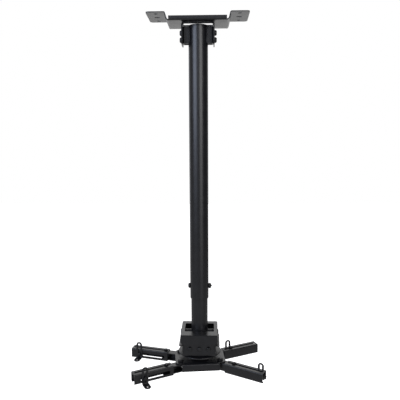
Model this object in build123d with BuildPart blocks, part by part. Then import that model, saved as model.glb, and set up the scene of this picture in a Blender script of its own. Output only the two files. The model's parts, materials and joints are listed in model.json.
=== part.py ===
# Telescopic ceiling mount for a projector.
#
# A folded plate screws to the ceiling and carries a two-piece pole. The head on the pole's lower end
# tilts, rolls and swivels, and a hub under it carries four swinging arms. Each arm is a slotted channel
# that telescopes on a stem, with a slotted foot that slides along it and up and down.
#
# Frame: millimetres, origin in the ceiling plane above the pole's axis, Z up, X along the plate.

from build123d import *

import os
from math import cos, radians, sin

os.makedirs("parts", exist_ok=True)

# Clearances
slide_gap = 0.5  # between the two pole tubes, on the radius
turn_gap = 0.3  # between faces that move past each other
pin_gap = 0.1  # round a screw or pin in its hole, on the radius
weld_gap = 0.05  # round a welded seam, on the radius

# Ceiling plate
plate_length = 256.0
plate_depth = 100.0
plate_sheet = 2.5
plate_bend = 2.0  # inside radius of its folds
plate_drop = 18.0  # from the ceiling to the top of the centre panel
wing_width = 47.5
wing_corner = 8.0
web_lean = 4.5  # how far each web slants inwards on its way down
rib_height = 8.0  # of the front and rear flanges, above the centre panel
rib_relief = 4.0  # from a flange's end to the foot of the web
anchor_pitch = 70.0  # between the outer holes of a wing
anchor_hole = 9.0
anchor_slot = 14.0  # length of the middle hole of a wing
window_length = 74.0  # cable window in the centre panel
window_depth = 46.0
window_corner = 4.0

# Yoke and the pole's ears
yoke_sheet = 3.0
yoke_bend = 3.0
yoke_depth = 58.0
yoke_drop = 52.0
yoke_corner = 8.0
ear_stand = 14.0  # from the pole's side to the ear's face
ear_depth = 22.0
ear_height = 41.5
ear_sheet = 3.0
ear_bend = 1.5
ear_setback = 3.5  # of the ear's top below the pole's top
ear_bolt_depth = 17.6  # of the upper bolt below the pole's top
ear_bolt_pitch = 17.5

# Pole
pole_diameter = 50.0
tube_wall = 2.0
pole_length = 717.5
pole_top_gap = 0.5  # between the pole's top and the yoke
clamp_height = 33.5  # of the clamp screws above the pole's lower end
inner_length = 700.0
inner_exposed = 87.0  # of the inner tube, between the pole's end and the head

# Tilt housing
head_offset = 4.5  # of the head's centre in front of the pole's axis
housing_width = 100.0
housing_depth = 101.0
housing_sheet = 2.5
housing_corner = 4.0
housing_edge = 1.5
skirt_height = 19.5
shoulder_height = 12.0
tongue_width = 79.0
tongue_straight = 17.0
tongue_sag = 11.0
tongue_set = 2.5  # of the tongues behind the skirt's faces
tongue_step = 27.0  # of that step below the housing's top
mouth_width = 80.0
mouth_clearance = 5.5  # round the inner tube, front and back
mouth_corner = 4.0
pitch_depth = 11.5  # of the tilt axis below the housing's top
pivot_bar_diameter = 14.0
tube_inset = 23.5  # of the inner tube's end below the housing's top
roll_depth = 39.5  # of the roll axis below the housing's top
roll_lock_radius = 25.0
roll_lock_swing = 10.0  # degrees either way

# Cradle and swivel
cradle_width = 90.0
cradle_height = 28.5
cradle_sheet = 2.5
cradle_bend = 0.5  # inside radius of its folds
cradle_lip = 10.0
lip_setback = 6.0  # of a lip's ends from the cradle's front and rear
lip_corner = 3.0
disc_gap = 2.0  # under the housing's tongues
disc_diameter = 116.0
disc_sheet = 3.0
swivel_washer = 1.0
boss_diameter = 46.0
boss_height = 15.4

# Hub
hub_sheet = 3.0
hub_bend = 1.5
hub_turn = 6.0  # of the hub under the head at rest, in degrees
hub_depth = 98.0
hub_height = 20.5
hub_flange_length = 102.0
hub_end = 14.0  # of the plate past the arm pivots
hub_end_depth = 82.0
hub_corner = 10.0
pivot_spacing_x = 108.0
pivot_spacing_y = 58.0

# Arms
channel_width = 26.0
channel_height = 26.0
channel_wall = 2.0
channel_corner = 2.5
channel_length = 110.0
channel_lip = 6.0  # turned in under the side without the foot
side_slot_height = 9.0
side_slot_ends = (10.0, 18.0)  # closed stretches, hub's end first on left arms and last on right arms
top_slot_width = 6.5
top_slot_end = 4.0  # closed stretch at each end of the top slot
stem_sheet = 2.5
stem_length = 53.0  # from the pivot
lock_distance = 42.0  # of the lock screw from the pivot

# Feet
foot_drop = 2.0  # of the foot's bolt below the arm's level
strap_width = 17.0
strap_sheet = 2.5
strap_bend = 1.5
strap_height = 47.0
strap_slot = 6.5
strap_slot_top = 4.25  # of metal left above the slot
strap_slot_foot = 6.0  # of metal left below the slot
pad_length = 25.0
pad_hole = 5.5
pad_hole_inset = 9.0
slide_nut_length = 16.0
slide_nut_sheet = 3.0
slide_nut_neck = 10.0

# Screws: head diameter, head height, shank diameter; and nuts: width across flats, height
m8_head = 14.0
m8_head_height = 5.5
m8_low_height = 2.2  # of a low round head
m8 = 8.0
m8_flats = 13.0
m8_nut_height = 6.5
m8_hex_height = 5.3
m10 = 10.0
m10_flats = 16.0
m10_nut_height = 8.0
m10_hex_height = 6.4
m6 = 6.0
m6_flats = 10.0
m6_hex_height = 4.0
thread_stop = 2.0  # of thread past a nut
set_screw_stand = 9.5  # of the set screw out of the pole

# Arms at rest: side, end, degrees of swing from the hub's X, pivot to channel, foot in its slot, rise of foot
# The foot is measured from the end of the side slot at the hub or, below zero, from the slot's free end
arms = {
    "front_left": (-1, -1, 22.0, 26.5, -11.0, 16.5),
    "front_right": (1, -1, 35.0, 20.0, -6.0, 14.5),
    "rear_left": (-1, 1, 20.0, 33.5, -7.0, 22.25),
    "rear_right": (1, 1, 20.0, 16.0, 6.0, 18.0),
}

# Levels and places worked out from the sizes above
centre_under = -plate_drop - plate_sheet
centre_half = plate_length / 2 - wing_width - web_lean
anchor_x = plate_length / 2 - wing_width / 2
pole_radius = pole_diameter / 2
ear_face = pole_radius + ear_stand
pole_top = centre_under - yoke_sheet - pole_top_gap
pole_bottom = pole_top - pole_length
ear_bolt_levels = (pole_top - ear_bolt_depth, pole_top - ear_bolt_depth - ear_bolt_pitch)
clamp_level = pole_bottom + clamp_height
inner_radius = pole_radius - tube_wall - slide_gap
head_top = pole_bottom - inner_exposed
head_y = -head_offset
pitch_level = head_top - pitch_depth
inner_bottom = head_top - tube_inset
roll_level = head_top - roll_depth
tongue_end = head_top - skirt_height - shoulder_height - tongue_straight
tongue_bottom = tongue_end - tongue_sag
housing_height = head_top - tongue_bottom
housing_front = head_y - housing_depth / 2
tongue_front = housing_front + tongue_set
tongue_rear = head_y + housing_depth / 2 - tongue_set
cradle_depth = tongue_rear - tongue_front - 2 * housing_sheet - 2 * turn_gap
disc_top = tongue_bottom - disc_gap
cradle_floor = disc_top + cradle_sheet
disc_under = disc_top - disc_sheet
boss_top = disc_under - swivel_washer - turn_gap
hub_top = boss_top - boss_height
hub_under = hub_top - hub_sheet
stem_width = channel_width - 2 * channel_wall - 2 * turn_gap
stem_height = channel_height - 2 * channel_wall - 2 * turn_gap
arm_level = hub_under - turn_gap - stem_height / 2
channel_top = channel_height / 2  # above the arm's level
strap_face = channel_width / 2 + turn_gap
pad_hole_out = strap_face + strap_sheet + pad_length - pad_hole_inset
hub_plane = Plane((0, head_y, 0)).rotated((0, 0, hub_turn))


def facing(origin, normal, up=(0, 0, 1)):
    """Plane through a point with a given outward normal, its X axis level."""
    return Plane(origin=origin, x_dir=Vector(*up).cross(Vector(*normal)), z_dir=normal)


def arm_plane(name):
    """Plane at an arm's pivot: X out along the arm, Y towards its foot, Z up."""
    side, end, swing, *_ = arms[name]
    turn = radians(swing)
    pivot = (side * pivot_spacing_x / 2, end * pivot_spacing_y / 2, arm_level)
    along = side * cos(turn) * hub_plane.x_dir + end * sin(turn) * hub_plane.y_dir
    return Plane(origin=hub_plane.from_local_coords(pivot), x_dir=along, z_dir=(0, 0, 1))


def section_plane(arm, out):
    """Cross-section of an arm at a distance from its pivot: X towards the foot, Y up."""
    return Plane(origin=arm.from_local_coords((out, 0, 0)), x_dir=arm.y_dir, z_dir=arm.x_dir)


def side_plane(arm, out, offset):
    """Plane across the foot's side of an arm: X in along the arm, Y up."""
    return Plane(origin=arm.from_local_coords((out, offset, 0)), x_dir=-arm.x_dir, z_dir=arm.y_dir)


def save(part, name):
    part.label = name
    export_step(part, f"parts/{name}.step")


def save_round_screws(name, seats, head, head_height, shank, length):
    """Round-headed screws, one on each seat plane, which faces out under the head."""
    with BuildPart() as screws:
        with BuildSketch(*seats):
            Circle(head / 2)
        extrude(amount=head_height)
        with BuildSketch(*seats):
            Circle(shank / 2)
        extrude(amount=-length)
    save(screws.part, name)


def save_hex_screws(name, seats, flats, head_height, shank, length):
    """Hexagon-headed screws, one on each seat plane, which faces out under the head."""
    with BuildPart() as screws:
        with BuildSketch(*seats):
            RegularPolygon(flats / 2, 6, major_radius=False)
        extrude(amount=head_height)
        with BuildSketch(*seats):
            Circle(shank / 2)
        extrude(amount=-length)
    save(screws.part, name)


def save_nuts(name, seats, flats, height, thread):
    """Hexagon nuts, one on each seat plane, which faces into the nut."""
    with BuildPart() as nuts:
        with BuildSketch(*seats):
            RegularPolygon(flats / 2, 6, major_radius=False)
            Circle(thread / 2 + weld_gap, mode=Mode.SUBTRACT)
        extrude(amount=height)
    save(nuts.part, name)


# Ceiling plate: one folded sheet with two wings, a lowered centre panel and two stiffening flanges
with BuildPart() as ceiling_plate:
    with BuildSketch(Plane.XZ):
        with BuildLine():
            FilletPolyline(
                (-plate_length / 2, 0),
                (-centre_half - web_lean, 0),
                (-centre_half, -plate_drop),
                (centre_half, -plate_drop),
                (centre_half + web_lean, 0),
                (plate_length / 2, 0),
                radius=plate_bend + plate_sheet,
            )
            offset(amount=plate_sheet, side=Side.RIGHT)
        make_face()
    extrude(amount=plate_depth / 2, both=True)
    rib_fold = plate_bend + plate_sheet
    with BuildSketch(Plane.XY.offset(centre_under)):
        with GridLocations(0, plate_depth - rib_fold, 1, 2):
            Rectangle(2 * centre_half - rib_relief, rib_fold)
    extrude(amount=plate_sheet, mode=Mode.SUBTRACT)
    with BuildSketch(Plane.YZ) as rib_section:
        with Locations((0, centre_under)):
            Rectangle(plate_depth, plate_sheet + rib_height, align=(Align.CENTER, Align.MIN))
        fillet(rib_section.vertices().group_by(Axis.Y)[0], rib_fold)
        with Locations((0, centre_under + plate_sheet)):
            Rectangle(
                plate_depth - 2 * plate_sheet,
                rib_height,
                align=(Align.CENTER, Align.MIN),
                mode=Mode.SUBTRACT,
            )
    extrude(amount=centre_half - rib_relief, both=True)
    with BuildSketch(Plane.XY.offset(centre_under)):
        RectangleRounded(window_length, window_depth, window_corner)
    extrude(amount=plate_sheet, mode=Mode.SUBTRACT)
    with BuildSketch():
        with GridLocations(2 * anchor_x, anchor_pitch, 2, 2):
            Circle(anchor_hole / 2)
        with GridLocations(2 * anchor_x, 0, 2, 1):
            SlotOverall(anchor_slot, anchor_hole)
    extrude(amount=-plate_sheet, mode=Mode.SUBTRACT)
    wing_ends = ceiling_plate.edges().filter_by(Axis.Z).group_by(Axis.X)
    fillet(wing_ends[0] + wing_ends[-1], wing_corner)
save(ceiling_plate.part, "ceiling_plate")

# Yoke: a folded strap welded under the plate, whose legs take the pole's ears between them
with BuildPart() as hanger_yoke:
    with BuildSketch(Plane.XZ) as yoke_section:
        with Locations((0, centre_under)):
            Rectangle(2 * (ear_face + yoke_sheet), yoke_drop, align=(Align.CENTER, Align.MAX))
        fillet(yoke_section.vertices().group_by(Axis.Y)[-1], yoke_bend + yoke_sheet)
        with Locations((0, centre_under - yoke_sheet)):
            Rectangle(
                2 * ear_face,
                yoke_drop - yoke_sheet,
                align=(Align.CENTER, Align.MAX),
                mode=Mode.SUBTRACT,
            )
    extrude(amount=yoke_depth / 2, both=True)
    fillet(hanger_yoke.edges().filter_by(Axis.X).group_by(Axis.Z)[0], yoke_corner)
    with BuildSketch(Plane.XY.offset(centre_under)):
        RectangleRounded(window_length, window_depth, window_corner)
    extrude(amount=-yoke_sheet, mode=Mode.SUBTRACT)
    with BuildSketch(Plane.YZ):
        with Locations(*[(0, level) for level in ear_bolt_levels]):
            Circle(m8 / 2 + pin_gap)
    extrude(amount=ear_face + yoke_sheet, both=True, mode=Mode.SUBTRACT)
save(hanger_yoke.part, "hanger_yoke")

# Ears: two folded channels welded to the sides of the pole
with BuildPart() as pole_ears:
    ear_top = pole_top - ear_setback
    with BuildSketch(Plane.XY.offset(ear_top)) as ear_section:
        with Locations((ear_face, 0)):
            Rectangle(ear_face, ear_depth, align=(Align.MAX, Align.CENTER))
        fillet(ear_section.vertices().group_by(Axis.X)[-1], ear_bend + ear_sheet)
        with Locations((ear_face - ear_sheet, 0)):
            Rectangle(
                ear_face - ear_sheet,
                ear_depth - 2 * ear_sheet,
                align=(Align.MAX, Align.CENTER),
                mode=Mode.SUBTRACT,
            )
        Circle(pole_radius + weld_gap, mode=Mode.SUBTRACT)
    extrude(amount=-ear_height)
    with BuildSketch(Plane.YZ):
        with Locations(*[(0, level) for level in ear_bolt_levels]):
            Circle(m8 / 2 + pin_gap)
    extrude(amount=ear_face, mode=Mode.SUBTRACT)
    mirror(about=Plane.YZ)
save(pole_ears.part, "pole_ears")

yoke_face = ear_face + yoke_sheet
ear_bolt_seats = [
    facing((side * yoke_face, 0, level), (side, 0, 0)) for side in (-1, 1) for level in ear_bolt_levels
]
ear_bolt_length = yoke_sheet + ear_sheet + m8_nut_height + thread_stop
save_round_screws("yoke_bolts", ear_bolt_seats, m8_head, m8_head_height, m8, ear_bolt_length)

ear_nut_seats = [
    facing((side * (ear_face - ear_sheet), 0, level), (-side, 0, 0))
    for side in (-1, 1)
    for level in ear_bolt_levels
]
save_nuts("ear_nuts", ear_nut_seats, m8_flats, m8_nut_height, m8)

# Pole: the outer tube, with a clamp screw tapped through each side near its lower end
with BuildPart() as outer_tube:
    with BuildSketch(Plane.XY.offset(pole_bottom)):
        Circle(pole_radius)
        Circle(pole_radius - tube_wall, mode=Mode.SUBTRACT)
    extrude(amount=pole_length)
    with BuildSketch(Plane.YZ):
        with Locations((0, clamp_level)):
            Circle(m8 / 2 + weld_gap)
    extrude(amount=pole_radius, both=True, mode=Mode.SUBTRACT)
save(outer_tube.part, "outer_tube")

clamp_reach = pole_radius + weld_gap - inner_radius - pin_gap
left_clamp_seat = facing((-pole_radius - weld_gap, 0, clamp_level), (-1, 0, 0))
right_clamp_seat = facing((pole_radius + weld_gap, 0, clamp_level), (1, 0, 0))
save_round_screws("clamp_screw", [left_clamp_seat], m8_head, m8_head_height, m8, clamp_reach)
save_nuts("clamp_lock_nut", [right_clamp_seat], m8_flats, m8_nut_height, m8)

with BuildPart() as clamp_set_screw:
    with BuildSketch(right_clamp_seat.offset(-clamp_reach)):
        Circle(m8 / 2)
    extrude(amount=clamp_reach + set_screw_stand)
save(clamp_set_screw.part, "clamp_set_screw")

# Inner tube, cross-drilled at its lower end for the bar that the head tilts on
with BuildPart() as inner_tube:
    with BuildSketch(Plane.XY.offset(inner_bottom)):
        Circle(inner_radius)
        Circle(inner_radius - tube_wall, mode=Mode.SUBTRACT)
    extrude(amount=inner_length)
    with BuildSketch(Plane.YZ):
        with Locations((0, pitch_level)):
            Circle(pivot_bar_diameter / 2 + weld_gap)
    extrude(amount=inner_radius, both=True, mode=Mode.SUBTRACT)
save(inner_tube.part, "inner_tube")

pivot_bar_half = housing_width / 2 - housing_sheet - turn_gap
pitch_screw_seats = [
    facing((side * (housing_width / 2 + turn_gap), 0, pitch_level), (side, 0, 0)) for side in (-1, 1)
]
pitch_grip = housing_sheet + 2 * turn_gap
pitch_screw_length = pitch_grip + 2 * m8
with BuildPart() as pivot_bar:
    with BuildSketch(Plane.YZ):
        with Locations((0, pitch_level)):
            Circle(pivot_bar_diameter / 2)
    extrude(amount=pivot_bar_half, both=True)
    with BuildSketch(*[seat.offset(-pitch_grip) for seat in pitch_screw_seats]):
        Circle(m8 / 2 + weld_gap)
    extrude(amount=-2 * m8 - thread_stop, mode=Mode.SUBTRACT)
save(pivot_bar.part, "pivot_bar")
save_round_screws("pitch_screws", pitch_screw_seats, m8_head, m8_low_height, m8, pitch_screw_length)

# Tilt housing: a pressed cap with a mouth round the pole and a long tongue at front and rear
lock_arcs = [
    CenterArc((0, roll_level), roll_lock_radius, start, 2 * roll_lock_swing)
    for start in (-roll_lock_swing, 180 - roll_lock_swing)
]
with BuildPart() as tilt_housing:
    with BuildSketch(Plane.XY.offset(tongue_bottom)):
        with Locations((0, head_y)):
            RectangleRounded(housing_width, housing_depth, housing_corner)
    extrude(amount=housing_height)
    chamfer(tilt_housing.faces().sort_by(Axis.Z)[-1].edges(), housing_edge)
    with BuildSketch(Plane.XY.offset(tongue_bottom)):
        with Locations((0, head_y)):
            Rectangle(housing_width - 2 * housing_sheet, housing_depth - 2 * housing_sheet)
    extrude(amount=housing_height - housing_sheet, mode=Mode.SUBTRACT)
    skirt_end = head_top - skirt_height
    with BuildSketch(Plane.XY.offset(skirt_end)):
        with Locations((0, head_y)):
            Rectangle(housing_width, housing_depth - 2 * housing_sheet)
    extrude(amount=tongue_bottom - skirt_end, mode=Mode.SUBTRACT)
    step_level = head_top - tongue_step
    with BuildSketch(Plane.XY.offset(tongue_bottom)):
        with Locations((0, head_y)):
            Rectangle(housing_width, housing_depth - 2 * housing_sheet)
            Rectangle(housing_width, cradle_depth + 2 * turn_gap, mode=Mode.SUBTRACT)
    extrude(amount=step_level + housing_sheet - tongue_bottom)
    with BuildSketch(Plane.XY.offset(tongue_bottom)):
        with Locations((0, head_y)):
            Rectangle(housing_width, housing_depth)
            Rectangle(housing_width, housing_depth - 2 * tongue_set, mode=Mode.SUBTRACT)
    extrude(amount=step_level - tongue_bottom, mode=Mode.SUBTRACT)
    with BuildSketch(Plane.XZ):
        with BuildLine():
            Polyline(
                (-tongue_width / 2, tongue_end),
                (-tongue_width / 2, skirt_end - shoulder_height),
                (-housing_width / 2, skirt_end),
                (-housing_width / 2, head_top),
                (housing_width / 2, head_top),
                (housing_width / 2, skirt_end),
                (tongue_width / 2, skirt_end - shoulder_height),
                (tongue_width / 2, tongue_end),
            )
            ThreePointArc(
                (tongue_width / 2, tongue_end), (0, tongue_bottom), (-tongue_width / 2, tongue_end)
            )
        make_face()
    extrude(amount=housing_depth, both=True, mode=Mode.INTERSECT)
    with BuildSketch(Plane.XY.offset(head_top)):
        RectangleRounded(mouth_width, 2 * (inner_radius + mouth_clearance), mouth_corner)
    extrude(amount=-housing_sheet, mode=Mode.SUBTRACT)
    with BuildSketch(Plane.YZ):
        with Locations((0, pitch_level)):
            Circle(m8 / 2 + pin_gap)
    extrude(amount=housing_width / 2, both=True, mode=Mode.SUBTRACT)
    with BuildSketch(Plane.XZ):
        with Locations((0, roll_level)):
            Circle(m6 / 2 + pin_gap)
    extrude(amount=housing_depth, both=True, mode=Mode.SUBTRACT)
    with BuildSketch(Plane.XZ.offset(-tongue_front - housing_sheet)):
        for lock_arc in lock_arcs:
            SlotArc(lock_arc, m6 + 2 * turn_gap)
    extrude(amount=housing_sheet, mode=Mode.SUBTRACT)
save(tilt_housing.part, "tilt_housing")

# Cradle: an open tray between the housing's tongues, with out-turned lips at its sides
with BuildPart() as roll_cradle:
    with BuildSketch(Plane.XY.offset(disc_top)):
        with Locations((0, head_y)):
            Rectangle(cradle_width, cradle_depth)
    extrude(amount=cradle_height)
    fillet(roll_cradle.faces().sort_by(Axis.Z)[0].edges(), cradle_bend + cradle_sheet)
    with BuildSketch(Plane.XY.offset(cradle_floor)):
        with Locations((0, head_y)):
            Rectangle(cradle_width - 2 * cradle_sheet, cradle_depth - 2 * cradle_sheet)
    extrude(amount=cradle_height, mode=Mode.SUBTRACT)
    lip_out = cradle_width / 2 + cradle_lip
    with BuildSketch(Plane.XY.offset(disc_top + cradle_height)):
        with Locations((0, head_y)):
            RectangleRounded(2 * lip_out, cradle_depth - 2 * lip_setback, lip_corner)
            Rectangle(cradle_width - 2 * cradle_sheet, cradle_depth, mode=Mode.SUBTRACT)
    extrude(amount=-cradle_sheet)
    with BuildSketch(Plane.XZ):
        with Locations((0, roll_level)):
            Circle(m6 / 2 + weld_gap)
    extrude(amount=housing_depth, both=True, mode=Mode.SUBTRACT)
    with BuildSketch(Plane.XZ.offset(-head_y)):
        with Locations((0, roll_level)):
            with GridLocations(2 * roll_lock_radius, 0, 2, 1):
                Circle(m6 / 2 + weld_gap)
    extrude(amount=cradle_depth / 2, mode=Mode.SUBTRACT)
    with BuildSketch(Plane.XY.offset(disc_top)):
        with Locations((0, head_y)):
            Circle(m10 / 2 + weld_gap)
    extrude(amount=cradle_sheet, mode=Mode.SUBTRACT)
save(roll_cradle.part, "roll_cradle")

roll_seat_front = tongue_front - turn_gap
roll_seat_rear = tongue_rear + turn_gap
roll_grip = housing_sheet + 2 * turn_gap + cradle_sheet
roll_length = roll_grip + thread_stop
roll_pivot_seats = [
    facing((0, roll_seat_front, roll_level), (0, -1, 0)),
    facing((0, roll_seat_rear, roll_level), (0, 1, 0)),
]
roll_lock_seats = [
    facing((side * roll_lock_radius, roll_seat_front, roll_level), (0, -1, 0)) for side in (-1, 1)
]
save_hex_screws("roll_pivot_screws", roll_pivot_seats, m6_flats, m6_hex_height, m6, roll_length)
save_hex_screws("roll_lock_screws", roll_lock_seats, m6_flats, m6_hex_height, m6, roll_length)

# Swivel: a disc under the cradle, a plain washer and a turned boss that the hub hangs from
with BuildPart() as swivel_disc:
    with BuildSketch(Plane.XY.offset(disc_under)):
        with Locations((0, head_y)):
            Circle(disc_diameter / 2)
            Circle(m10 / 2 + weld_gap, mode=Mode.SUBTRACT)
    extrude(amount=disc_sheet)
save(swivel_disc.part, "swivel_disc")

with BuildPart() as friction_washer:
    with BuildSketch(Plane.XY.offset(boss_top)):
        with Locations((0, head_y)):
            Circle(boss_diameter / 2)
            Circle(m10 / 2 + pin_gap, mode=Mode.SUBTRACT)
    extrude(amount=swivel_washer)
save(friction_washer.part, "friction_washer")

with BuildPart() as swivel_boss:
    with BuildSketch(Plane.XY.offset(hub_top)):
        with Locations((0, head_y)):
            Circle(boss_diameter / 2)
            Circle(m10 / 2 + pin_gap, mode=Mode.SUBTRACT)
    extrude(amount=boss_height)
save(swivel_boss.part, "swivel_boss")

swivel_bolt_seat = Plane((0, head_y, cradle_floor))
swivel_grip = cradle_floor - hub_under + turn_gap
swivel_length = swivel_grip + m10_nut_height + thread_stop
save_hex_screws("swivel_bolt", [swivel_bolt_seat], m10_flats, m10_hex_height, m10, swivel_length)
swivel_nut_seat = facing((0, head_y, hub_under - turn_gap), (0, 0, -1), up=(0, 1, 0))
save_nuts("swivel_nut", [swivel_nut_seat], m10_flats, m10_nut_height, m10)

# Hub: a plate with flanges folded down at front and rear and an open end for the arms at each side
with BuildPart() as hub_plate:
    hub_side = Plane(hub_plane.origin, x_dir=hub_plane.y_dir, z_dir=hub_plane.x_dir)
    with BuildSketch(hub_side) as hub_section:
        with Locations((0, hub_top)):
            Rectangle(hub_depth, hub_height, align=(Align.CENTER, Align.MAX))
        fillet(hub_section.vertices().group_by(Axis.Y)[-1], hub_bend + hub_sheet)
        with Locations((0, hub_under)):
            Rectangle(
                hub_depth - 2 * hub_sheet,
                hub_height - hub_sheet,
                align=(Align.CENTER, Align.MAX),
                mode=Mode.SUBTRACT,
            )
    extrude(amount=hub_flange_length / 2, both=True)
    with BuildSketch(hub_plane.offset(hub_under)):
        RectangleRounded(pivot_spacing_x + 2 * hub_end, hub_end_depth, hub_corner)
    extrude(amount=hub_sheet)
    with BuildSketch(hub_plane.offset(hub_under)):
        Circle(m10 / 2 + pin_gap)
        with GridLocations(pivot_spacing_x, pivot_spacing_y, 2, 2):
            Circle(m8 / 2 + weld_gap)
    extrude(amount=hub_sheet, mode=Mode.SUBTRACT)
save(hub_plate.part, "hub_plate")

pivot_places = [arm_plane(name).origin for name in arms]
pivot_bolt_seats = [Plane((place.X, place.Y, hub_top)) for place in pivot_places]
pivot_nut_level = arm_level + stem_height / 2 - stem_sheet - turn_gap
pivot_nut_seats = [
    facing((place.X, place.Y, pivot_nut_level), (0, 0, -1), up=(0, 1, 0)) for place in pivot_places
]
pivot_bolt_length = hub_top - pivot_nut_level + m8_nut_height + thread_stop
save_hex_screws("arm_pivot_bolts", pivot_bolt_seats, m8_flats, m8_hex_height, m8, pivot_bolt_length)
save_nuts("arm_pivot_nuts", pivot_nut_seats, m8_flats, m8_nut_height, m8)


def save_stem(name, arm):
    """A folded channel that turns on the hub's bolt and runs into the arm's channel."""
    with BuildPart() as stem:
        with BuildSketch(section_plane(arm, -stem_width / 2)) as section:
            Rectangle(stem_width, stem_height)
            fillet(section.vertices().group_by(Axis.X)[0], stem_sheet)
            with Locations((stem_sheet, 0)):
                Rectangle(stem_width, stem_height - 2 * stem_sheet, mode=Mode.SUBTRACT)
        extrude(amount=stem_length + stem_width / 2)
        with BuildSketch(arm):
            Circle(stem_width / 2)
            with Locations((stem_length / 2, 0)):
                Rectangle(stem_length, stem_width)
        extrude(amount=stem_height, both=True, mode=Mode.INTERSECT)
        with BuildSketch(arm):
            Circle(m8 / 2 + pin_gap)
            with Locations((lock_distance, 0)):
                Circle(m6 / 2 + weld_gap)
        extrude(amount=stem_height / 2, mode=Mode.SUBTRACT)
    save(stem.part, name)


def save_channel(name, arm, reach, slot_start, slot_stop):
    """A channel with one lip below, slotted on top for the lock screw and in one side for the foot."""
    inner_width = channel_width - 2 * channel_wall
    with BuildPart() as channel:
        with BuildSketch(section_plane(arm, reach)) as section:
            Rectangle(channel_width, channel_height)
            open_corner = (channel_width / 2, -channel_height / 2)
            fillet(section.vertices().sort_by_distance(open_corner)[1:], channel_corner)
            Rectangle(inner_width, channel_height - 2 * channel_wall, mode=Mode.SUBTRACT)
            with Locations((inner_width / 2, -channel_height / 2)):
                Rectangle(
                    inner_width - channel_lip, channel_wall, align=(Align.MAX, Align.MIN), mode=Mode.SUBTRACT
                )
        extrude(amount=channel_length)
        slot_middle = (slot_start + slot_stop) / 2
        with BuildSketch(side_plane(arm.offset(-foot_drop), slot_middle, channel_width / 2)):
            Rectangle(slot_stop - slot_start, side_slot_height)
        extrude(amount=-channel_wall, mode=Mode.SUBTRACT)
        with BuildSketch(arm.offset(channel_top)):
            with Locations((reach + channel_length / 2, 0)):
                SlotOverall(channel_length - 2 * top_slot_end, top_slot_width)
        extrude(amount=-channel_wall, mode=Mode.SUBTRACT)
    save(channel.part, name)


def save_slide_nut(name, arm, out):
    """A tapped plate behind the side slot, with a neck that keeps it square in the slot."""
    line = arm.offset(-foot_drop)
    back = channel_width / 2 - channel_wall - turn_gap
    with BuildPart() as slide_nut:
        with BuildSketch(side_plane(line, out, back)):
            Rectangle(slide_nut_length, stem_height - 2 * (stem_sheet + turn_gap + foot_drop))
        extrude(amount=-slide_nut_sheet)
        with BuildSketch(side_plane(line, out, back)):
            Rectangle(slide_nut_neck, side_slot_height - 2 * turn_gap)
        extrude(amount=channel_width / 2 - back)
        with BuildSketch(side_plane(line, out, back - slide_nut_sheet)):
            Circle(m6 / 2 + weld_gap)
        extrude(amount=channel_width, mode=Mode.SUBTRACT)
    save(slide_nut.part, name)


def save_strap(name, arm, out, rise):
    """A slotted strip on the arm's side, bent outwards at the bottom into a rounded pad."""
    top = channel_top + rise
    bottom = top - strap_height
    slot_middle = (top - strap_slot_top + bottom + strap_slot_foot) / 2
    slot_length = strap_height - strap_slot_top - strap_slot_foot
    with BuildPart() as strap:
        with BuildSketch(section_plane(arm, out)) as section:
            with Locations((strap_face, bottom)):
                Rectangle(strap_sheet, strap_height, align=(Align.MIN, Align.MIN))
                Rectangle(strap_sheet + pad_length, strap_sheet, align=(Align.MIN, Align.MIN))
            heel = section.vertices().sort_by_distance((strap_face, bottom))[0]
            fillet(heel, strap_bend + strap_sheet)
            instep = (strap_face + strap_sheet, bottom + strap_sheet)
            fillet(section.vertices().sort_by_distance(instep)[0], strap_bend)
        extrude(amount=strap_width / 2, both=True)
        ends = strap.edges().filter_by(lambda edge: abs(edge.length - strap_sheet) < turn_gap / 10)
        fillet(ends, strap_width / 2 - weld_gap)
        with BuildSketch(side_plane(arm, out, strap_face)):
            with Locations((0, slot_middle)):
                SlotOverall(slot_length, strap_slot, rotation=90)
        extrude(amount=strap_sheet, mode=Mode.SUBTRACT)
        with BuildSketch(arm.offset(bottom)):
            with Locations((out, pad_hole_out)):
                Circle(pad_hole / 2)
        extrude(amount=strap_sheet, mode=Mode.SUBTRACT)
    save(strap.part, name)


# Arms: the same five pieces four times over, each set at its own rest position
for name, (side, _, _, reach, foot, rise) in arms.items():
    arm = arm_plane(name)
    near_end, free_end = side_slot_ends if side < 0 else side_slot_ends[::-1]
    slot_start = reach + near_end
    slot_stop = reach + channel_length - free_end
    foot_out = foot + (slot_start if foot > 0 else slot_stop)
    lock_place = arm.from_local_coords((lock_distance, 0, channel_top + turn_gap))
    lock_length = channel_wall + 2 * turn_gap + stem_sheet + thread_stop
    bolt_seat = side_plane(arm.offset(-foot_drop), foot_out, strap_face + strap_sheet + turn_gap)
    bolt_length = 2 * turn_gap + strap_sheet + channel_wall + turn_gap + slide_nut_sheet
    save_stem(f"arm_stem_{name}", arm)
    save_hex_screws(f"arm_lock_screw_{name}", [Plane(lock_place)], m6_flats, m6_hex_height, m6, lock_length)
    save_channel(f"arm_channel_{name}", arm, reach, slot_start, slot_stop)
    save_slide_nut(f"foot_nut_{name}", arm, foot_out)
    save_hex_screws(f"foot_bolt_{name}", [bolt_seat], m6_flats, m6_hex_height, m6, bolt_length)
    save_strap(f"foot_strap_{name}", arm, foot_out, rise)
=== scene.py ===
# Telescopic projector ceiling mount: finishes, screws, weld seams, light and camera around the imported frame.
import json
import math

import bpy
import numpy as np
from mathutils import Matrix, Vector


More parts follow.
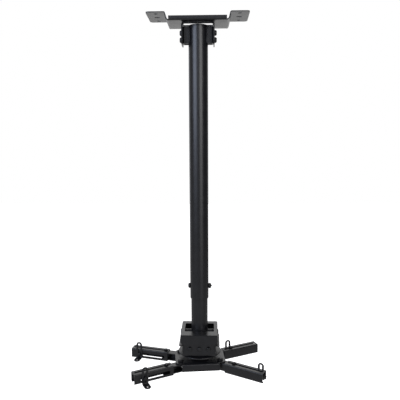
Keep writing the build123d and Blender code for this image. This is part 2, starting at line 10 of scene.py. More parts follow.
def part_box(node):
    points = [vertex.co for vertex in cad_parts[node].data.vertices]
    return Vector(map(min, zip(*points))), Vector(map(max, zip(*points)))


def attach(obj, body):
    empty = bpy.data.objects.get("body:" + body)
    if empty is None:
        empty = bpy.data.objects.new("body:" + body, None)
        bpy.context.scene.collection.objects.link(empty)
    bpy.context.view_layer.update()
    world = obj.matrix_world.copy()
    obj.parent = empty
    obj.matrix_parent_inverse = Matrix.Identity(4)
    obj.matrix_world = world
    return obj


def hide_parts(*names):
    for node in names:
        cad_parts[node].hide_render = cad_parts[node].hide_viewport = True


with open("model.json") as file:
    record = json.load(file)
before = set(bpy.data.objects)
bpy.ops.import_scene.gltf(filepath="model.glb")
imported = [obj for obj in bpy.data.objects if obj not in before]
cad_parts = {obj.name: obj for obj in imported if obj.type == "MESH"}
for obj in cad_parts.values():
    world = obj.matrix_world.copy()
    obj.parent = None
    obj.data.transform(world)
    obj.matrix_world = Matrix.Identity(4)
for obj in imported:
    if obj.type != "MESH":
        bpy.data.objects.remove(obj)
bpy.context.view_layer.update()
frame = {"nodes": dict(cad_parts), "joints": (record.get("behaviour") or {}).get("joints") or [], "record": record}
nodes = frame["nodes"]
joints = {joint["name"]: joint for joint in frame["joints"]}
mounts = {mount["name"]: mount for mount in frame["record"]["mounts"]}
armNames = ("front_left", "front_right", "rear_left", "rear_right")
mm = 0.001
print("frame:", len(nodes), "nodes")


class Wire:
    # a node output that can stand in sums: every operator adds one Math node to the tree
    def __init__(self, tree, socket=None):
        self.tree = tree
        self.socket = socket

    def node(self, kind, settings, inputs, output=0):
        # any node: its settings first, then the values or links of its sockets
        made = self.tree.nodes.new(kind)
        for key, value in settings.items():
            setattr(made, key, value)
        for key, value in inputs.items():
            if isinstance(value, Wire):
                self.tree.links.new(value.socket, made.inputs[key])
            else:
                made.inputs[key].default_value = value
        return Wire(self.tree, made.outputs[output] if made.outputs else None)

    def sum(self, operation, left, right):
        return self.node("ShaderNodeMath", {"operation": operation}, {0: left, 1: right})

    def __add__(self, other):
        return self.sum("ADD", self, other)

    def __radd__(self, other):
        return self.sum("ADD", other, self)

    def __sub__(self, other):
        return self.sum("SUBTRACT", self, other)

    def __rsub__(self, other):
        return self.sum("SUBTRACT", other, self)

    def __mul__(self, other):
        return self.sum("MULTIPLY", self, other)

    def noise(self, place, scale, detail):
        return self.node("ShaderNodeTexNoise", {}, {"Vector": place, "Scale": scale, "Detail": detail})

    def span(self, value, low, high):
        # 0 below low, 1 above high, smooth between
        settings = {"interpolation_type": "SMOOTHSTEP", "clamp": True}
        return self.node("ShaderNodeMapRange", settings, {"Value": value, "From Min": low, "From Max": high})

    def blend(self, factor, first, second):
        # the colour sockets of a Mix node share their names with others, so they go by number
        settings = {"data_type": "RGBA"}
        return self.node("ShaderNodeMix", settings, {0: factor, 6: first, 7: second}, output=2)

    def bump(self, height, look):
        inputs = {"Strength": look["bump"], "Distance": look["bumpDepth"], "Height": height}
        return self.node("ShaderNodeBump", {}, inputs)


def newMaterial(name):
    material = bpy.data.materials.new(name)
    material.use_nodes = True
    material.node_tree.nodes.clear()
    bench = Wire(material.node_tree)
    return material, bench, bench.node("ShaderNodeTexCoord", {}, {}, output="Object")


def closeMaterial(bench, inputs):
    # the Principled shader takes its constants directly and its varying sockets by link
    shader = bench.node("ShaderNodeBsdfPrincipled", {}, inputs)
    bench.node("ShaderNodeOutputMaterial", {}, {"Surface": shader})


noiseMiddle = 0.5


# Satin powder coat: orange peel, faint mottling of the gloss and, on tubes, drawn streaks along Z
def powderCoat(name, look):
    material, bench, place = newMaterial(name)
    peel = bench.noise(place, look["peelScale"], look["peelDetail"])
    cloud = bench.noise(place, look["cloudScale"], look["cloudDetail"])
    stretched = bench.node("ShaderNodeMapping", {}, {"Vector": place, "Scale": look["streakScale"]})
    drawn = bench.noise(stretched, 1.0, look["streakDetail"])
    streak = bench.span(drawn, *look["streakSpan"]) * look["streak"]
    tint = bench.blend(bench.span(cloud, *look["cloudSpan"]), (*look["dark"], 1), (*look["light"], 1))
    colour = bench.blend(streak, tint, (*look["rub"], 1))
    gloss = look["roughness"] + (cloud - noiseMiddle) * look["cloudGloss"]
    gloss = gloss + (peel - noiseMiddle) * look["peelGloss"] + streak * look["streakGloss"]
    bump = bench.bump(peel, look)
    closeMaterial(bench, {"IOR": look["ior"], "Base Color": colour, "Roughness": gloss, "Normal": bump})
    return material


coatLook = {
    "dark": (0.0064, 0.0064, 0.0077),
    "light": (0.0086, 0.0086, 0.0101),
    "rub": (0.018, 0.018, 0.019),
    "roughness": 0.3,
    "cloudScale": 38.0,
    "cloudDetail": 3.0,
    "cloudSpan": (0.3, 0.7),
    "cloudGloss": 0.10,
    "peelScale": 2100.0,
    "peelDetail": 2.0,
    "peelGloss": 0.06,
    "bump": 0.10,
    "bumpDepth": 0.0002,
    "streak": 0.0,
    "streakScale": (1.0, 1.0, 1.0),
    "streakDetail": 4.0,
    "streakSpan": (0.52, 0.78),
    "streakGloss": 0.12,
    "ior": 1.5,
}
tubeLook = {**coatLook, "streak": 0.25, "streakScale": (420.0, 420.0, 9.0)}
sleeveLook = {**coatLook, "streak": 0.45, "streakScale": (520.0, 520.0, 7.0), "roughness": 0.33}
coat = powderCoat("powderCoat", coatLook)
tubeCoat = powderCoat("tubeCoat", tubeLook)
sleeveCoat = powderCoat("slidingTubeCoat", sleeveLook)


# Black oxide on steel: fine tumbled speckle, darker in patches, glossier than the coat; the same recipe serves the
# nylon and the swivel boss, whose darker black is painted shade
def blackOxide(name, look):
    material, bench, place = newMaterial(name)
    fine = bench.noise(place, look["fineScale"], look["fineDetail"])
    patch = bench.noise(place, look["patchScale"], look["patchDetail"])
    colour = bench.blend(bench.span(patch, *look["patchSpan"]), (*look["dark"], 1), (*look["light"], 1))
    gloss = look["roughness"] + (fine - noiseMiddle) * look["fineGloss"]
    bump = bench.bump(fine, look)
    closeMaterial(
        bench, {"Metallic": look["metallic"], "Base Color": colour, "Roughness": gloss, "Normal": bump}
    )
    return material


oxideLook = {
    "dark": (0.014, 0.014, 0.015),
    "light": (0.024, 0.024, 0.025),
    "metallic": 0.45,
    "roughness": 0.36,
    "fineScale": 3200.0,
    "fineDetail": 3.0,
    "fineGloss": 0.16,
    "patchScale": 160.0,
    "patchDetail": 2.0,
    "patchSpan": (0.35, 0.65),
    "bump": 0.12,
    "bumpDepth": 0.0001,
}
nylonLook = {**oxideLook, "metallic": 0.0, "roughness": 0.55, "fineScale": 1500.0}
# Swivel boss: its darker black is painted shade for the gap under the swivel disc; its higher roughness is its
# matte finish
bossShadeLook = {**nylonLook, "dark": (0.003, 0.003, 0.003), "light": (0.005, 0.005, 0.005), "roughness": 0.8}
oxide = blackOxide("blackOxide", oxideLook)
nylon = blackOxide("blackNylon", nylonLook)
bossShadeBlack = blackOxide("bossPaintedShade", bossShadeLook)
print("finishes:", coat.name, tubeCoat.name, sleeveCoat.name, oxide.name, nylon.name, bossShadeBlack.name)

# CAD nodes: finish, and edges rounded as the coat rounds them
edgeLook = {"width": 0.35 * mm, "segments": 2, "angle": math.radians(38), "merge": 0.002 * mm}
edgeWidths = {"swivel_disc": (1.3 * mm, 5)}  # nodes with softer edges: width and segments
slotFinish = {"black_powder_coat": coat, "black_fastener": oxide, "black_nylon": nylon}
# the swivel boss takes the darker black that paints the shade under the swivel disc
nodeFinish = {"outer_tube": tubeCoat, "inner_tube": sleeveCoat, "swivel_boss": bossShadeBlack}
slotOf = {part["node"]: part["material_slot"] for part in frame["record"]["subparts"]}


def edgeGroup():
    # joins the CAD faces along their seams and shades smooth up to the edge angle
    group = bpy.data.node_groups.new("joinedFaces", "GeometryNodeTree")
    for way in ("INPUT", "OUTPUT"):
        group.interface.new_socket("Geometry", in_out=way, socket_type="NodeSocketGeometry")
    bench = Wire(group)
    mesh = bench.node("NodeGroupInput", {}, {})
    plain = bench.node("GeometryNodeRemoveAttribute", {}, {"Geometry": mesh, "Name": "custom_normal"})
    joined = bench.node("GeometryNodeMergeByDistance", {}, {"Geometry": plain, "Distance": edgeLook["merge"]})
    smooth = bench.node("GeometryNodeSetShadeSmooth", {"domain": "FACE"}, {"Geometry": joined})
    bend = bench.node("GeometryNodeInputMeshEdgeAngle", {}, {})
    sharp = bench.sum("GREATER_THAN", bend, edgeLook["angle"])
    creased = bench.node(
        "GeometryNodeSetShadeSmooth",
        {"domain": "EDGE"},
        {"Geometry": smooth, "Selection": sharp, "Shade Smooth": False},
    )
    bench.node("NodeGroupOutput", {}, {"Geometry": creased})
    return group


joinedFaces = edgeGroup()


def finishNode(name, item):
    item.data.materials.clear()
    item.data.materials.append(nodeFinish.get(name, slotFinish[slotOf[name]]))
    item.modifiers.new("join", "NODES").node_group = joinedFaces
    bevel = item.modifiers.new("edges", "BEVEL")
    bevel.width, bevel.segments = edgeWidths.get(name, (edgeLook["width"], edgeLook["segments"]))
    bevel.limit_method = "ANGLE"
    bevel.angle_limit = edgeLook["angle"]
    bevel.harden_normals = True


for nodeName, nodeItem in nodes.items():
    finishNode(nodeName, nodeItem)
print("coated nodes:", len(nodes))


def gridShape(grid, closeRows, poles=()):
    # points, quads and pole triangles of a grid whose columns close on themselves
    rows, columns = grid.shape[:2]
    row = np.arange(rows if closeRows else rows - 1)[:, None]
    column = np.arange(columns)[None, :]
    nextRow = (row + 1) % rows
    nextColumn = (column + 1) % columns
    corners = (
        row * columns + column,
        nextRow * columns + column,
        nextRow * columns + nextColumn,
        row * columns + nextColumn,
    )
    quads = np.stack(np.broadcast_arrays(*corners), -1).reshape(-1, 4)
    points = grid.reshape(-1, 3)
    triangles = np.empty((0, 3), dtype=int)
    if len(poles):
        first = np.arange(columns)
        last = first + (rows - 1) * columns
        pole = np.full(columns, len(points))
        start = np.stack([pole, first, np.roll(first, -1)], -1)
        end = np.stack([pole + 1, np.roll(last, -1), last], -1)
        triangles = np.concatenate([start, end])
        points = np.concatenate([points, np.array(poles)])
    return points, quads, triangles


def joinShapes(shapes):
    # several shapes as one, corner numbers moved up by the points that come before
    starts = np.cumsum([0] + [len(points) for points, _, _ in shapes[:-1]])
    return (
        np.concatenate([points for points, _, _ in shapes]),
        np.concatenate([quads + start for (_, quads, _), start in zip(shapes, starts)]),
        np.concatenate([triangles + start for (_, _, triangles), start in zip(shapes, starts)]),
    )


sharpAngle = math.radians(32)  # between two faces of a new piece that meet in a crisp edge


def addPiece(name, shape, body, slotName, replaced=()):
    points, quads, triangles = shape
    mesh = bpy.data.meshes.new(name)
    mesh.from_pydata(points.tolist(), [], quads.tolist() + triangles.tolist())
    mesh.update()
    mesh.polygons.foreach_set("use_smooth", np.ones(len(mesh.polygons), dtype=bool))
    mesh.set_sharp_from_angle(angle=sharpAngle)
    mesh.materials.append(slotFinish[slotName])
    piece = bpy.data.objects.new(name, mesh)
    bpy.context.scene.collection.objects.link(piece)
    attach(piece, body)
    if replaced:
        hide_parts(*replaced)


def addFastener(name, shape, body, node):
    addPiece(name, shape, body, "black_fastener", [node])


steep = 0.9  # a direction's share of Z from which it counts as upright


def seatMatrix(origin, outward):
    # Z out of the seat, X level, as the part's own seats are
    outward = Vector(outward).normalized()
    level = Vector((1, 0, 0)) if abs(outward.z) > steep else Vector((0, 0, 1)).cross(outward)
    turn = Matrix((level, outward.cross(level), outward)).transposed()
    return np.array(Matrix.Translation(Vector(origin)) @ turn.to_4x4())


turnColumns = 48  # round a turned shape
hexCos = math.cos(math.pi / 6)  # a hexagon's apothem over its corner radius
free = 1.0e3  # a limit or apothem that never bites


# A turned shape in millimetres over its seat. Each row gives height, round limit, hexagon apothem and
# thread depth: the radius is the lesser of the limit and the apothem over the cosine of the angle from
# the nearest flat, less the thread depth times a triangle wave of height over pitch less turns
def turnedShape(rows, pitch=1.0, ring=False):
    height, limit, apothem, thread = np.array(rows, dtype=float).T[:, :, None]
    angle = np.linspace(0, 2 * np.pi, turnColumns, endpoint=False)[None, :]
    hexagon = apothem / np.cos(angle % (np.pi / 3) - np.pi / 6)
    wave = np.abs(2 * ((height / pitch - angle / (2 * np.pi)) % 1) - 1)
    radius = np.minimum(limit, hexagon) - thread * wave
    grid = np.stack(np.broadcast_arrays(radius * np.cos(angle), radius * np.sin(angle), height), -1)
    return gridShape(grid, ring, () if ring else [[0, 0, rows[0][0]], [0, 0, rows[-1][0]]])


def roundRow(height, radius, thread=0.0):
    return (height, radius, free, thread)


def hexRow(height, apothem, limit=free):
    return (height, limit, apothem, 0.0)


def onSeats(shape, seats):
    points, quads, triangles = shape
    return joinShapes([((points * mm) @ seat[:3, :3].T + seat[:3, 3], quads, triangles) for seat in seats])


# Details that screws share: rows of thread to a pitch, plain stretch before the thread, end taper in thread
# depths, broken edges of a head, rim round a socket, rows of a dome, first rings round the axis
screwDetail = {
    "threadRows": 10,
    "runout": 0.2,
    "endTaper": 1.2,
    "edge": 0.25,
    "rim": 0.5,
    "domeRows": 10,
    "socketRing": 0.3,
    "crownRing": 0.4,
}
# Hexagons: chamfer's slope, rows, flat share of the crown, and the round face under a head
crown = {"slope": math.tan(math.radians(30)), "rows": 7, "flat": 0.94, "face": 0.97, "faceHeight": 0.35}
boreEdge = {"flare": 0.35, "depth": 0.4}  # the bevel at each end of a nut's bore
pointEdge = {"rise": 0.1, "sink": 0.2, "inner": 0.4}  # a set screw's shoulder, seat and inner end


def threadRows(start, end, screw, length):
    # rows about a tenth of a pitch apart, each cut by the depth of the thread
    count = max(int(length / screw["pitch"] * screwDetail["threadRows"]), 2)
    return [roundRow(height, screw["shank"], screw["depth"]) for height in np.linspace(start, end, count)]


def shankRows(screw):
    # plain shank, thread over the stretch that shows, chamfered end
    radius, length, cutLength, depth = (screw[key] for key in ("shank", "length", "thread", "depth"))
    rows = [roundRow(0.0, radius), roundRow(cutLength - length + screwDetail["runout"], radius)]
    rows += threadRows(cutLength - length, depth - length, screw, cutLength)
    return rows + [roundRow(-length, radius - depth * screwDetail["endTaper"])]


def domedRows(screw):
    # socket floor and walls, rim, a quarter wave from the rim to the head's edge, underside
    top, head, socket = screw["height"], screw["head"], screw["socket"] / 2
    floor, edge = top - screw["socketDepth"], top * screw["edge"]
    rim = socket / hexCos + screwDetail["rim"]
    sweep = np.linspace(0.0, math.pi / 2, screwDetail["domeRows"])[1:]
    rows = [roundRow(floor, screwDetail["socketRing"]), hexRow(floor, socket)]
    rows += [hexRow(top - screwDetail["edge"], socket), roundRow(top, rim)]
    rows += [
        roundRow(edge + (top - edge) * math.cos(turn), rim + (head - rim) * math.sin(turn)) for turn in sweep
    ]
    rows += [roundRow(screwDetail["edge"], head), roundRow(0.0, head - screwDetail["edge"])]
    return rows + shankRows(screw)


def crownRows(flats, level, sign):
    # the thirty-degree chamfer that trims a hexagon's corners, from its crown down its flats
    apothem = flats / 2
    flat = apothem * crown["flat"]
    fall = np.linspace(0.0, 1.0, crown["rows"]) * (apothem / hexCos - flat) * crown["slope"]
    return [hexRow(level - sign * drop, apothem, flat + drop / crown["slope"]) for drop in fall]


def hexRows(screw):
    # flat crown with its chamfer, flats, a round face under the head
    top, apothem = screw["height"], screw["flats"] / 2
    rows = [roundRow(top, screwDetail["crownRing"])] + crownRows(screw["flats"], top, 1)
    rows += [hexRow(crown["faceHeight"], apothem), roundRow(0.0, apothem * crown["face"])]
    return rows + shankRows(screw)


def nutRows(nut):
    # bore mouth, chamfered crown, flats, the same crown below, bore back up
    top, bore = nut["height"], nut["bore"]
    mouth, depth = bore + boreEdge["flare"], boreEdge["depth"]
    rows = [roundRow(top, mouth)] + crownRows(nut["flats"], top, 1)
    rows += crownRows(nut["flats"], 0.0, -1)[::-1]
    return rows + [roundRow(0.0, mouth), roundRow(depth, bore), roundRow(top - depth, bore)]


def pointedRows(screw):
    # cone point, threaded stretch outside the nut, plain end inside the pole
    stand, radius = screw["stand"], screw["shank"]
    shoulder = stand - screw["point"]
    rows = [roundRow(stand, screwDetail["crownRing"])]
    rows += [roundRow(shoulder + pointEdge["rise"], radius - screw["depth"])]
    rows += threadRows(shoulder, 0.0, screw, stand)
    return rows + [
        roundRow(-pointEdge["sink"], radius),
        roundRow(-screw["reach"], radius - pointEdge["inner"]),
    ]


def screwsOn(seats, screw, rowsOf):
    return onSeats(turnedShape(rowsOf(screw), screw["pitch"]), seats)


def nutsOn(seats, nut):
    return onSeats(turnedShape(nutRows(nut), ring=True), seats)


def edges(node):
    low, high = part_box(node)
    return Vector(low), Vector(high), (Vector(low) + Vector(high)) / 2


# Screws and nuts in millimetres: shank and bore by radius, head by radius, hexagons across flats
m6Thread = {"shank": 3.0, "pitch": 1.0, "depth": 0.42}
m8Thread = {"shank": 4.0, "pitch": 1.25, "depth": 0.55}
m10Thread = {"shank": 5.0, "pitch": 1.5, "depth": 0.65}
domedM8 = {**m8Thread, "head": 7.0, "height": 5.5, "socket": 5.0, "socketDepth": 2.8, "edge": 0.28}
hexM6 = {**m6Thread, "flats": 10.0, "height": 4.0, "thread": 2.2}
nutM8 = {"flats": 13.0, "height": 6.5, "bore": 4.05}
nutM10 = {"flats": 16.0, "height": 8.0, "bore": 5.05}

yokeBolt = {**domedM8, "length": 14.5, "thread": 4.0}


def addYokeBolts():
    low, high, centre = edges("yoke_bolts")
    levels = (low.z + yokeBolt["head"] * mm, high.z - yokeBolt["head"] * mm)
    face = high.x - yokeBolt["height"] * mm
    nutFace = edges("ear_nuts")[1].x
    places = [(side, level) for side in (-1, 1) for level in levels]
    boltSeats = [seatMatrix((side * face, centre.y, level), (side, 0, 0)) for side, level in places]
    nutSeats = [seatMatrix((side * nutFace, centre.y, level), (-side, 0, 0)) for side, level in places]
    addFastener("yokeBolts", screwsOn(boltSeats, yokeBolt, domedRows), "ceiling", "yoke_bolts")
    addFastener("earNuts", nutsOn(nutSeats, nutM8), "ceiling", "ear_nuts")


clampScrew = {**domedM8, "length": 2.45, "thread": 1.2}
setScrew = {**m8Thread, "stand": 9.5, "point": 2.6, "reach": 2.45}


def addClamps():
    screwLow, _, centre = edges("clamp_screw")
    face = screwLow.x + clampScrew["height"] * mm
    screwSeat = [seatMatrix((face, centre.y, centre.z), (-1, 0, 0))]
    nutSeat = [seatMatrix((edges("clamp_lock_nut")[0].x, centre.y, centre.z), (1, 0, 0))]
    addFastener("clampScrew", screwsOn(screwSeat, clampScrew, domedRows), "ceiling", "clamp_screw")
    addFastener("clampLockNut", nutsOn(nutSeat, nutM8), "ceiling", "clamp_lock_nut")
    addFastener("clampSetScrew", screwsOn(nutSeat, setScrew, pointedRows), "ceiling", "clamp_set_screw")


pitchScrew = {**domedM8, "height": 2.2, "socketDepth": 1.4, "edge": 0.4, "length": 19.1, "thread": 2.0}


def addPitchScrews():
    _, high, centre = edges("pitch_screws")
    face = high.x - pitchScrew["height"] * mm
    seats = [seatMatrix((side * face, centre.y, centre.z), (side, 0, 0)) for side in (-1, 1)]
    addFastener("pitchScrews", screwsOn(seats, pitchScrew, domedRows), "lower_pole", "pitch_screws")


rollScrew = {**hexM6, "length": 7.6}


def addRollScrews():
    low, high, centre = edges("roll_pivot_screws")
    front, rear = low.y + rollScrew["height"] * mm, high.y - rollScrew["height"] * mm
    aside = edges("roll_lock_screws")[1].x - rollScrew["flats"] / 2 / hexCos * mm
    pivots = [seatMatrix((0, front, centre.z), (0, -1, 0)), seatMatrix((0, rear, centre.z), (0, 1, 0))]
    locks = [seatMatrix((side * aside, front, centre.z), (0, -1, 0)) for side in (-1, 1)]
    addFastener("rollPivotScrews", screwsOn(pivots, rollScrew, hexRows), "cradle", "roll_pivot_screws")
    addFastener("rollLockScrews", screwsOn(locks, rollScrew, hexRows), "cradle", "roll_lock_screws")


swivelBolt = {**m10Thread, "flats": 16.0, "height": 6.4, "thread": 3.0}


def addSwivelBolt():
    low, high, centre = edges("swivel_bolt")
    seat = high.z - swivelBolt["height"] * mm
    bolt = {**swivelBolt, "length": (seat - low.z) / mm}
    boltSeat = [seatMatrix((centre.x, centre.y, seat), (0, 0, 1))]
    nutSeat = [seatMatrix((centre.x, centre.y, edges("swivel_nut")[1].z), (0, 0, -1))]
    addFastener("swivelBolt", screwsOn(boltSeat, bolt, hexRows), "cradle", "swivel_bolt")
    addFastener("swivelNut", nutsOn(nutSeat, nutM10), "cradle", "swivel_nut")


pivotBolt = {**m8Thread, "flats": 13.0, "height": 5.3, "thread": 3.0}


def addArmPivots():
    low, high, _ = edges("arm_pivot_bolts")
    seat = high.z - pivotBolt["height"] * mm
    nutFace = edges("arm_pivot_nuts")[1].z
    bolt = {**pivotBolt, "length": (seat - low.z) / mm}
    places = [joints[f"arm_swing_{arm}"]["pos_m"][:2] for arm in armNames]
    boltSeats = [seatMatrix((*place, seat), (0, 0, 1)) for place in places]
    nutSeats = [seatMatrix((*place, nutFace), (0, 0, -1)) for place in places]
    addFastener("armPivotBolts", screwsOn(boltSeats, bolt, hexRows), "hub", "arm_pivot_bolts")
    addFastener("armPivotNuts", nutsOn(nutSeats, nutM8), "hub", "arm_pivot_nuts")


armLockScrew = {**hexM6, "length": 7.1}
footBolt = {**hexM6, "length": 8.4, "seat": 15.7}  # seat: back from the foot's hole


def addArmScrews(arm):
    _, high, centre = edges(f"arm_lock_screw_{arm}")
    lockSeat = [seatMatrix((centre.x, centre.y, high.z - armLockScrew["height"] * mm), (0, 0, 1))]
    sideways = Vector((0, 0, 1)).cross(Vector(joints[f"arm_extend_{arm}"]["axis"])).normalized()
    place = Vector(mounts[f"foot_hole_{arm}"]["pos_m"]) - sideways * footBolt["seat"] * mm
    place.z = edges(f"foot_bolt_{arm}")[2].z
    lock = screwsOn(lockSeat, armLockScrew, hexRows)
    bolt = screwsOn([seatMatrix(place, sideways)], footBolt, hexRows)
    addFastener(f"armLockScrew_{arm}", lock, f"stem_{arm}", f"arm_lock_screw_{arm}")
    addFastener(f"footBolt_{arm}", bolt, f"slider_{arm}", f"foot_bolt_{arm}")


addYokeBolts()
addClamps()
addPitchScrews()
addRollScrews()
addSwivelBolt()
addArmPivots()
for armName in armNames:
    addArmScrews(armName)
print("screws and nuts: ceiling end, head, hub and", len(armNames), "arms")

# Weld beads: ripple is the length of one, bow how far its middle runs ahead, swell its share of the radius;
# wander is the slow sway of the radius, and the ends are blunter the higher their power
seamBead = {
    "radius": 1.7 * mm,
    "ripple": 2.1 * mm,
    "bow": 0.22,
    "swell": 0.14,
    "wander": 0.06,
    "wanderRate": 1.7,
    "wanderStart": 0.8,
    "endPower": 10,
    "endLeast": 0.002,
    "columns": 14,
    "steps": 220,
}
bossBead = {**seamBead, "radius": 1.5 * mm, "steps": 420}


# A weld bead: a round profile carried along a path, its radius swelling once a ripple, the ripples
# bowed by the cosine of the profile's angle, and both ends of an open bead drawn to a point
def beadShape(path, outward, bead, closed):
    angle = np.linspace(0, 2 * np.pi, bead["columns"], endpoint=False)[None, :]
    ahead = np.roll(path, -1, 0) - np.roll(path, 1, 0) if closed else np.gradient(path, axis=0)
    ahead = ahead / np.linalg.norm(ahead, axis=1, keepdims=True)
    across = np.cross(outward, ahead)
    step = np.linalg.norm(np.diff(path, axis=0, append=path[:1] if closed else path[-1:]), axis=1)
    run = np.cumsum(step) - step
    blunt = 1 - np.abs(2 * run / run[-1] - 1) ** bead["endPower"]
    taper = np.ones(len(path)) if closed else np.sqrt(np.clip(blunt, bead["endLeast"], 1))
    ripples = run[:, None] / bead["ripple"]
    ripple = np.abs(np.sin(np.pi * (ripples + bead["bow"] * np.cos(angle))))
    wander = 1 + bead["wander"] * np.sin(ripples * bead["wanderRate"] + bead["wanderStart"])
    radius = bead["radius"] * taper[:, None] * wander * (1 - bead["swell"] + bead["swell"] * ripple)
    ring = outward[:, None] * np.cos(angle)[..., None] + across[:, None] * np.sin(angle)[..., None]
    return gridShape(path[:, None] + radius[..., None] * ring, closed, () if closed else [path[0], path[-1]])


def straightBead(start, end, outward, bead):
    count = bead["steps"]
    path = np.array(start) + np.linspace(0, 1, count)[:, None] * (np.array(end) - np.array(start))
    return beadShape(path, np.tile(np.array(outward) / np.linalg.norm(outward), (count, 1)), bead, False)


yokeSeam = {"inset": 9 * mm, "out": 0.4 * mm, "down": 0.5 * mm}


# Yoke to plate: along the strap's front and rear edges, in the corner under the plate
def addYokeSeams():
    low, high, _ = edges("hanger_yoke")
    left, right = low.x + yokeSeam["inset"], high.x - yokeSeam["inset"]
    level = high.z - yokeSeam["down"]
    beads = []
    for edge, side in ((low.y, -1), (high.y, 1)):
        line = edge + side * yokeSeam["out"]
        beads.append(straightBead((left, line, level), (right, line, level), (0, side, -1), seamBead))
    addPiece("yokeSeams", joinShapes(beads), "ceiling", "black_powder_coat")


earSeam = {"inset": 2 * mm, "spread": 1.01}  # spread: of the seams over the ear's width


# Ears to pole: down both edges of each ear, where its sides meet the tube
def addEarSeams():
    low, high, _ = edges("pole_ears")
    top, bottom = high.z - earSeam["inset"], low.z + earSeam["inset"]
    aside = math.sqrt(edges("outer_tube")[1].x ** 2 - high.y ** 2)
    beads = []
    for side in (-aside, aside):
        for edge in (low.y, high.y):
            line = edge * earSeam["spread"]
            outward = (0, math.copysign(1, edge), 0)
            beads.append(straightBead((side, line, top), (side, line, bottom), outward, seamBead))
    addPiece("earSeams", joinShapes(beads), "ceiling", "black_powder_coat")


bossSeam = {"out": 0.2 * mm, "up": 0.3 * mm}


# Boss to hub: a ring round the boss's foot
def addBossSeam():
    low, high, centre = edges("swivel_boss")
    turn = np.linspace(0, 2 * np.pi, bossBead["steps"], endpoint=False)
    spoke = np.stack([np.cos(turn), np.sin(turn), np.zeros_like(turn)], -1)
    ring = spoke * (high.x - centre.x + bossSeam["out"])
    path = ring + (centre.x, centre.y, low.z + bossSeam["up"])
    addPiece("bossSeam", beadShape(path, spoke, bossBead, True), "hub", "black_powder_coat")


addYokeSeams()
addEarSeams()
addBossSeam()
print("weld seams: yoke, ears and boss")

# Camera: distance, height and turn found by fitting the part's own corners to the photograph
view = {
    "focal": 460.45,  # in pixels, as the frame's width is
    "frame": 400.0,
    "sensor": 36.0,  # in millimetres
    "clip": 50.0,
    "distance": 1.22206,
    "height": -0.30971,
    "aside": 0.0027,
    "turn": 1.5904,  # in degrees, as tilt and roll are
    "tilt": 7.547,
    "roll": -0.26,
}


def placeCamera():
    turn, tilt, roll = (math.radians(view[key]) for key in ("turn", "tilt", "roll"))
    back = Vector((math.sin(turn), -math.cos(turn), 0))
    right = Vector((math.cos(turn), math.sin(turn), 0))
    up = Vector((0, 0, 1))
    place = back * view["distance"] + up * view["height"] + right * view["aside"]
    ahead = -back * math.cos(tilt) - up * math.sin(tilt)
    above = right.cross(ahead)
    across = right * math.cos(roll) + above * math.sin(roll)
    upward = -right * math.sin(roll) + above * math.cos(roll)
    lens = bpy.data.cameras.new("camera")
    lens.sensor_width = view["sensor"]
    lens.lens = view["focal"] / view["frame"] * view["sensor"]
    lens.clip_end = view["clip"]
    camera = bpy.data.objects.new("camera", lens)
    bpy.context.scene.collection.objects.link(camera)
    camera.matrix_world = Matrix.Translation(place) @ Matrix((across, upward, -ahead)).transposed().to_4x4()
    bpy.context.scene.camera = camera


placeCamera()

# Light: soft panels either side of the camera, each fading towards the floor in tiers, a weak one between
# them and three behind the mount. A tier is its lower edge, its upper edge and its radiance
panels = {
    "panelLeft": {
        "turn": -41.0,
        "distance": 2.3,
        "width": 1.7,
        "colour": (0.77, 0.87, 1.10),
        "tiers": ((-0.23, 1.07, 4.5), (-0.80, -0.23, 0.65)),
    },
    "panelRight": {
        "turn": 31.0,
        "distance": 2.3,
        "width": 1.3,
        "colour": (1.0, 0.995, 1.0),
        "tiers": ((-0.23, 1.07, 4.0), (-0.80, -0.23, 1.8), (-1.35, -0.80, 0.85)),
    },
    "panelFront": {
        "turn": -3.0,
        "distance": 2.3,
        "width": 1.1,
        "colour": (0.9, 0.94, 1.06),
        "tiers": ((-0.05, 1.0, 0.4),),
    },
    "panelRear": {
        "turn": 180.0,
        "distance": 2.6,
        "width": 1.6,
        "colour": (1.0, 1.0, 1.0),
        "tiers": ((1.1, 2.3, 2.6), (-0.1, 1.1, 1.0), (-1.0, -0.1, 0.8)),
    },
    "panelRearLeft": {
        "turn": -140.0,
        "distance": 2.4,
        "width": 1.5,
        "colour": (0.9, 0.95, 1.05),
        "tiers": ((-1.2, 1.1, 0.7),),
    },
    "panelRearRight": {
        "turn": 146.0,
        "distance": 2.4,
        "width": 1.5,
        "colour": (1.0, 1.0, 1.0),
        "tiers": ((-1.2, 1.1, 0.5),),
    },
}


def addPanel(name, panel, tier):
    low, high, radiance = tier
    turn = math.radians(panel["turn"])
    light = bpy.data.lights.new(name, "AREA")
    light.shape = "RECTANGLE"
    light.size, light.size_y = panel["width"], high - low
    light.energy = radiance * math.pi * light.size * light.size_y
    light.color = panel["colour"]
    lamp = bpy.data.objects.new(name, light)
    bpy.context.scene.collection.objects.link(lamp)
    away = Vector((math.sin(turn), -math.cos(turn), 0))
    place = away * panel["distance"] + Vector((0, 0, (low + high) / 2))
    lamp.matrix_world = Matrix.Translation(place) @ away.to_track_quat("Z", "Y").to_matrix().to_4x4()


for panelName, panel in panels.items():
    for tierIndex, tier in enumerate(panel["tiers"]):
        addPanel(f"{panelName}{tierIndex}", panel, tier)

# Room: strengths for light and for the camera, then what gloss sees at the left, the right and the floor;
# side is how far across the left turns into the right, and dip how far down the floor comes in
room = {
    "diffuse": 0.3,
    "white": 1.0,
    "left": 0.3,
    "right": 0.07,
    "floor": 0.46,
    "side": 0.6,
    "dip": (0.22, 0.40),
}


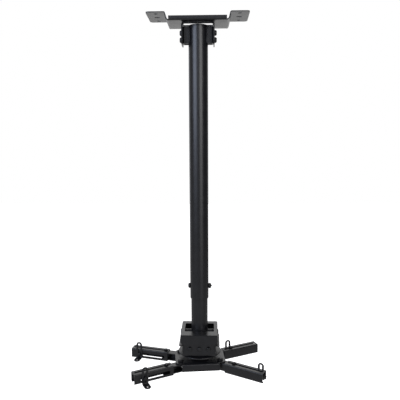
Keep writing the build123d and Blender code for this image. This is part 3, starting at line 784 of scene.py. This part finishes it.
def buildRoom():
    # white where the camera looks, an even grey as light, a dim room over a pale floor for gloss
    world = bpy.data.worlds.new("room")
    bpy.context.scene.world = world
    world.use_nodes = True
    world.node_tree.nodes.clear()
    bench = Wire(world.node_tree)
    direction = bench.node("ShaderNodeTexCoord", {}, {}, output="Generated")
    across = bench.node("ShaderNodeSeparateXYZ", {}, {0: direction}, output="X")
    upward = bench.node("ShaderNodeSeparateXYZ", {}, {0: direction}, output="Z")
    cameraRay = bench.node("ShaderNodeLightPath", {}, {}, output="Is Camera Ray")
    glossyRay = bench.node("ShaderNodeLightPath", {}, {}, output="Is Glossy Ray")
    sheen = room["left"] - bench.span(across, -room["side"], room["side"]) * (room["left"] - room["right"])
    sheen = sheen + bench.span(0 - upward, *room["dip"]) * (room["floor"] - sheen)
    strength = room["diffuse"] + glossyRay * (sheen - room["diffuse"])
    strength = strength + cameraRay * (room["white"] - strength)
    shine = bench.node("ShaderNodeBackground", {}, {"Color": (1, 1, 1, 1), "Strength": strength})
    bench.node("ShaderNodeOutputWorld", {}, {"Surface": shine})


buildRoom()

# Floor: pale, and lifted to the room's white for the camera, the more the further it is from the mount
floorLook = {"level": -1.75, "reach": 9.0, "pale": (0.84, 0.84, 0.84), "lift": 0.55, "spread": (0.4, 1.6)}


def buildFloor():
    mesh = bpy.data.meshes.new("floor")
    corners = np.array([[-1, -1, 0], [1, -1, 0], [1, 1, 0], [-1, 1, 0]]) * floorLook["reach"]
    corners[:, 2] = floorLook["level"]
    mesh.from_pydata(corners.tolist(), [], [(0, 1, 2, 3)])
    material, bench, place = newMaterial("paleFloor")
    flat = bench.node("ShaderNodeVectorMath", {"operation": "MULTIPLY"}, {0: place, 1: (1, 1, 0)})
    radius = bench.node("ShaderNodeVectorMath", {"operation": "LENGTH"}, {0: flat}, output="Value")
    cameraRay = bench.node("ShaderNodeLightPath", {}, {}, output="Is Camera Ray")
    lift = floorLook["lift"] + bench.span(radius, *floorLook["spread"]) * (1 - floorLook["lift"])
    dull = bench.node("ShaderNodeBsdfDiffuse", {}, {"Color": (*floorLook["pale"], 1)})
    glow = bench.node("ShaderNodeEmission", {}, {"Color": (1, 1, 1, 1), "Strength": cameraRay * lift})
    both = bench.node("ShaderNodeAddShader", {}, {0: dull, 1: glow})
    bench.node("ShaderNodeOutputMaterial", {}, {"Surface": both})
    mesh.materials.append(material)
    floor = bpy.data.objects.new("floor", mesh)
    bpy.context.scene.collection.objects.link(floor)
    floor.visible_glossy = False


buildFloor()
bpy.context.scene.view_settings.view_transform = "Standard"
print("stage: camera, panels, room and floor")
